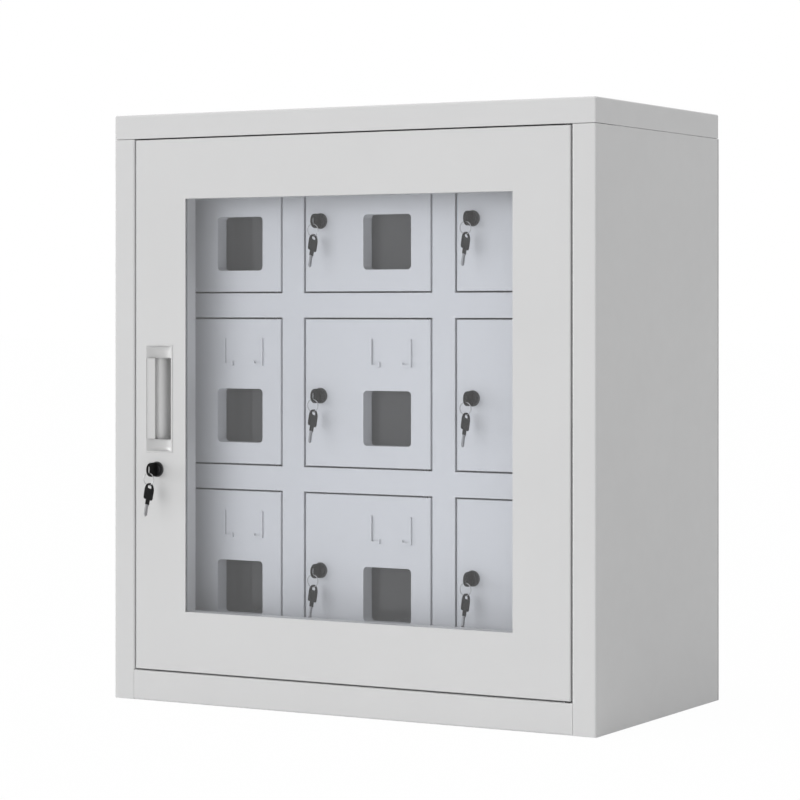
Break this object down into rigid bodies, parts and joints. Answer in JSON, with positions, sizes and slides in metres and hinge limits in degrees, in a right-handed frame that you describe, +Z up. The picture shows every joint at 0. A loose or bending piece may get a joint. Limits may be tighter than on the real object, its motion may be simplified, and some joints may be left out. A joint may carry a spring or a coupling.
{
  "type": "cell phone locker box",
  "caption": "Folded steel cabinet with a glazed, keyed front door over a grid of small keyed doors, each with a viewing pane and a compartment for a mobile phone.",
  "frame": {"origin": "centre of the cabinet's underside", "axes": "+Z up, -Y out of the front towards the person who opens it, +X to the hinge side"},
  "size_m": [0.595, 0.34, 0.65],
  "materials": {
    "grey_paint": "smooth semi-matt powder coat",
    "grey_plastic": "smooth moulded",
    "glass": "clear",
    "clear_pane": "clear",
    "lock_black": "gloss black",
    "key_metal": "steel, with the key bows covered in black",
    "pin_steel": "oiled"
  },
  "bodies": {
    "cabinet": {"top_cap": "grey_paint", "left_side_panel": "grey_paint", "right_side_panel": "grey_paint", "back_panel": "grey_paint", "bottom_panel": "grey_paint", "locker_frame": "grey_paint", "compartment_partitions": "grey_paint", "hinge_pins": "pin_steel"},
    "large_door": {"outer_door_panel": "grey_paint", "outer_door_window": "glass", "outer_door_liner": "grey_paint", "pull_handle": "grey_plastic", "outer_lock_barrel": "lock_black"},
    "large_lock_turn": {"outer_lock_key": "key_metal"},
    "large_spare_key": {"outer_spare_key": "key_metal"},
    "small_door_r1c1": {"door_r1c1": "grey_paint", "door_r1c1_window": "clear_pane", "door_r1c1_lock": "lock_black"},
    "lock_turn_r1c1": {"door_r1c1_key": "key_metal"},
    "spare_key_r1c1": {"door_r1c1_spare_key": "key_metal"},
    "small_door_r1c2": {"door_r1c2": "grey_paint", "door_r1c2_window": "clear_pane", "door_r1c2_lock": "lock_black"},
    "lock_turn_r1c2": {"door_r1c2_key": "key_metal"},
    "spare_key_r1c2": {"door_r1c2_spare_key": "key_metal"},
    "small_door_r1c3": {"door_r1c3": "grey_paint", "door_r1c3_window": "clear_pane", "door_r1c3_lock": "lock_black"},
    "lock_turn_r1c3": {"door_r1c3_key": "key_metal"},
    "spare_key_r1c3": {"door_r1c3_spare_key": "key_metal"},
    "small_door_r2c1": {"door_r2c1": "grey_paint", "door_r2c1_window": "clear_pane", "door_r2c1_lock": "lock_black"},
    "lock_turn_r2c1": {"door_r2c1_key": "key_metal"},
    "spare_key_r2c1": {"door_r2c1_spare_key": "key_metal"},
    "small_door_r2c2": {"door_r2c2": "grey_paint", "door_r2c2_window": "clear_pane", "door_r2c2_lock": "lock_black"},
    "lock_turn_r2c2": {"door_r2c2_key": "key_metal"},
    "spare_key_r2c2": {"door_r2c2_spare_key": "key_metal"},
    "small_door_r2c3": {"door_r2c3": "grey_paint", "door_r2c3_window": "clear_pane", "door_r2c3_lock": "lock_black"},
    "lock_turn_r2c3": {"door_r2c3_key": "key_metal"},
    "spare_key_r2c3": {"door_r2c3_spare_key": "key_metal"},
    "small_door_r3c1": {"door_r3c1": "grey_paint", "door_r3c1_window": "clear_pane", "door_r3c1_lock": "lock_black"},
    "lock_turn_r3c1": {"door_r3c1_key": "key_metal"},
    "spare_key_r3c1": {"door_r3c1_spare_key": "key_metal"},
    "small_door_r3c2": {"door_r3c2": "grey_paint", "door_r3c2_window": "clear_pane", "door_r3c2_lock": "lock_black"},
    "lock_turn_r3c2": {"door_r3c2_key": "key_metal"},
    "spare_key_r3c2": {"door_r3c2_spare_key": "key_metal"},
    "small_door_r3c3": {"door_r3c3": "grey_paint", "door_r3c3_window": "clear_pane", "door_r3c3_lock": "lock_black"},
    "lock_turn_r3c3": {"door_r3c3_key": "key_metal"},
    "spare_key_r3c3": {"door_r3c3_spare_key": "key_metal"}
  },
  "joints": [
    {"name": "large_door_hinge", "type": "hinge", "parent": "cabinet", "child": "large_door", "pos_m": [0.2637, -0.1533, 0.328], "axis": [0, 0, 1], "range_deg": [0, 120]},
    {"name": "large_lock_turn_hinge", "type": "hinge", "parent": "large_door", "child": "large_lock_turn", "pos_m": [-0.24, -0.1575, 0.2568], "axis": [0, 1, 0], "range_deg": [0, 90]},
    {"name": "large_spare_key_hang", "type": "hinge", "parent": "large_lock_turn", "child": "large_spare_key", "pos_m": [-0.24, -0.1739, 0.2506], "axis": [0, 1, 0], "range_deg": [-90, 0]},
    {"name": "door_hinge_r1c1", "type": "hinge", "parent": "cabinet", "child": "small_door_r1c1", "pos_m": [-0.1151, -0.1029, 0.5335], "axis": [0, 0, 1], "range_deg": [0, 90]},
    {"name": "lock_turn_r1c1_hinge", "type": "hinge", "parent": "small_door_r1c1", "child": "lock_turn_r1c1", "pos_m": [-0.2472, -0.1071, 0.5302], "axis": [0, 1, 0], "range_deg": [0, 90]},
    {"name": "spare_key_r1c1_hang", "type": "hinge", "parent": "lock_turn_r1c1", "child": "spare_key_r1c1", "pos_m": [-0.2472, -0.1235, 0.524], "axis": [0, 1, 0], "range_deg": [-90, 0]},
    {"name": "door_hinge_r1c2", "type": "hinge", "parent": "cabinet", "child": "small_door_r1c2", "pos_m": [0.0731, -0.1029, 0.5335], "axis": [0, 0, 1], "range_deg": [0, 90]},
    {"name": "lock_turn_r1c2_hinge", "type": "hinge", "parent": "small_door_r1c2", "child": "lock_turn_r1c2", "pos_m": [-0.059, -0.1071, 0.5302], "axis": [0, 1, 0], "range_deg": [0, 90]},
    {"name": "spare_key_r1c2_hang", "type": "hinge", "parent": "lock_turn_r1c2", "child": "spare_key_r1c2", "pos_m": [-0.059, -0.1235, 0.524], "axis": [0, 1, 0], "range_deg": [-90, 0]},
    {"name": "door_hinge_r1c3", "type": "hinge", "parent": "cabinet", "child": "small_door_r1c3", "pos_m": [0.2613, -0.1029, 0.5335], "axis": [0, 0, 1], "range_deg": [0, 60]},
    {"name": "lock_turn_r1c3_hinge", "type": "hinge", "parent": "small_door_r1c3", "child": "lock_turn_r1c3", "pos_m": [0.1292, -0.1071, 0.5302], "axis": [0, 1, 0], "range_deg": [0, 90]},
    {"name": "spare_key_r1c3_hang", "type": "hinge", "parent": "lock_turn_r1c3", "child": "spare_key_r1c3", "pos_m": [0.1292, -0.1235, 0.524], "axis": [0, 1, 0], "range_deg": [-90, 0]},
    {"name": "door_hinge_r2c1", "type": "hinge", "parent": "cabinet", "child": "small_door_r2c1", "pos_m": [-0.1151, -0.1029, 0.343], "axis": [0, 0, 1], "range_deg": [0, 90]},
    {"name": "lock_turn_r2c1_hinge", "type": "hinge", "parent": "small_door_r2c1", "child": "lock_turn_r2c1", "pos_m": [-0.2472, -0.1071, 0.3397], "axis": [0, 1, 0], "range_deg": [0, 90]},
    {"name": "spare_key_r2c1_hang", "type": "hinge", "parent": "lock_turn_r2c1", "child": "spare_key_r2c1", "pos_m": [-0.2472, -0.1235, 0.3335], "axis": [0, 1, 0], "range_deg": [-90, 0]},
    {"name": "door_hinge_r2c2", "type": "hinge", "parent": "cabinet", "child": "small_door_r2c2", "pos_m": [0.0731, -0.1029, 0.343], "axis": [0, 0, 1], "range_deg": [0, 90]},
    {"name": "lock_turn_r2c2_hinge", "type": "hinge", "parent": "small_door_r2c2", "child": "lock_turn_r2c2", "pos_m": [-0.059, -0.1071, 0.3397], "axis": [0, 1, 0], "range_deg": [0, 90]},
    {"name": "spare_key_r2c2_hang", "type": "hinge", "parent": "lock_turn_r2c2", "child": "spare_key_r2c2", "pos_m": [-0.059, -0.1235, 0.3335], "axis": [0, 1, 0], "range_deg": [-90, 0]},
    {"name": "door_hinge_r2c3", "type": "hinge", "parent": "cabinet", "child": "small_door_r2c3", "pos_m": [0.2613, -0.1029, 0.343], "axis": [0, 0, 1], "range_deg": [0, 60]},
    {"name": "lock_turn_r2c3_hinge", "type": "hinge", "parent": "small_door_r2c3", "child": "lock_turn_r2c3", "pos_m": [0.1292, -0.1071, 0.3397], "axis": [0, 1, 0], "range_deg": [0, 90]},
    {"name": "spare_key_r2c3_hang", "type": "hinge", "parent": "lock_turn_r2c3", "child": "spare_key_r2c3", "pos_m": [0.1292, -0.1235, 0.3335], "axis": [0, 1, 0], "range_deg": [-90, 0]},
    {"name": "door_hinge_r3c1", "type": "hinge", "parent": "cabinet", "child": "small_door_r3c1", "pos_m": [-0.1151, -0.1029, 0.1525], "axis": [0, 0, 1], "range_deg": [0, 90]},
    {"name": "lock_turn_r3c1_hinge", "type": "hinge", "parent": "small_door_r3c1", "child": "lock_turn_r3c1", "pos_m": [-0.2472, -0.1071, 0.1492], "axis": [0, 1, 0], "range_deg": [0, 90]},
    {"name": "spare_key_r3c1_hang", "type": "hinge", "parent": "lock_turn_r3c1", "child": "spare_key_r3c1", "pos_m": [-0.2472, -0.1235, 0.143], "axis": [0, 1, 0], "range_deg": [-90, 0]},
    {"name": "door_hinge_r3c2", "type": "hinge", "parent": "cabinet", "child": "small_door_r3c2", "pos_m": [0.0731, -0.1029, 0.1525], "axis": [0, 0, 1], "range_deg": [0, 90]},
    {"name": "lock_turn_r3c2_hinge", "type": "hinge", "parent": "small_door_r3c2", "child": "lock_turn_r3c2", "pos_m": [-0.059, -0.1071, 0.1492], "axis": [0, 1, 0], "range_deg": [0, 90]},
    {"name": "spare_key_r3c2_hang", "type": "hinge", "parent": "lock_turn_r3c2", "child": "spare_key_r3c2", "pos_m": [-0.059, -0.1235, 0.143], "axis": [0, 1, 0], "range_deg": [-90, 0]},
    {"name": "door_hinge_r3c3", "type": "hinge", "parent": "cabinet", "child": "small_door_r3c3", "pos_m": [0.2613, -0.1029, 0.1525], "axis": [0, 0, 1], "range_deg": [0, 60]},
    {"name": "lock_turn_r3c3_hinge", "type": "hinge", "parent": "small_door_r3c3", "child": "lock_turn_r3c3", "pos_m": [0.1292, -0.1071, 0.1492], "axis": [0, 1, 0], "range_deg": [0, 90]},
    {"name": "spare_key_r3c3_hang", "type": "hinge", "parent": "lock_turn_r3c3", "child": "spare_key_r3c3", "pos_m": [0.1292, -0.1235, 0.143], "axis": [0, 1, 0], "range_deg": [-90, 0]}
  ],
  "couplings": [
    {"joint": "large_spare_key_hang", "follows": "large_lock_turn_hinge", "ratio": -1},
    {"joint": "door_hinge_r1c1", "follows": "large_door_hinge", "ratio": 0.75},
    {"joint": "spare_key_r1c1_hang", "follows": "lock_turn_r1c1_hinge", "ratio": -1},
    {"joint": "door_hinge_r1c2", "follows": "large_door_hinge", "ratio": 0.75},
    {"joint": "spare_key_r1c2_hang", "follows": "lock_turn_r1c2_hinge", "ratio": -1},
    {"joint": "door_hinge_r1c3", "follows": "large_door_hinge", "ratio": 0.5},
    {"joint": "spare_key_r1c3_hang", "follows": "lock_turn_r1c3_hinge", "ratio": -1},
    {"joint": "door_hinge_r2c1", "follows": "large_door_hinge", "ratio": 0.75},
    {"joint": "spare_key_r2c1_hang", "follows": "lock_turn_r2c1_hinge", "ratio": -1},
    {"joint": "door_hinge_r2c2", "follows": "large_door_hinge", "ratio": 0.75},
    {"joint": "spare_key_r2c2_hang", "follows": "lock_turn_r2c2_hinge", "ratio": -1},
    {"joint": "door_hinge_r2c3", "follows": "large_door_hinge", "ratio": 0.5},
    {"joint": "spare_key_r2c3_hang", "follows": "lock_turn_r2c3_hinge", "ratio": -1},
    {"joint": "door_hinge_r3c1", "follows": "large_door_hinge", "ratio": 0.75},
    {"joint": "spare_key_r3c1_hang", "follows": "lock_turn_r3c1_hinge", "ratio": -1},
    {"joint": "door_hinge_r3c2", "follows": "large_door_hinge", "ratio": 0.75},
    {"joint": "spare_key_r3c2_hang", "follows": "lock_turn_r3c2_hinge", "ratio": -1},
    {"joint": "door_hinge_r3c3", "follows": "large_door_hinge", "ratio": 0.5},
    {"joint": "spare_key_r3c3_hang", "follows": "lock_turn_r3c3_hinge", "ratio": -1}
  ]
}
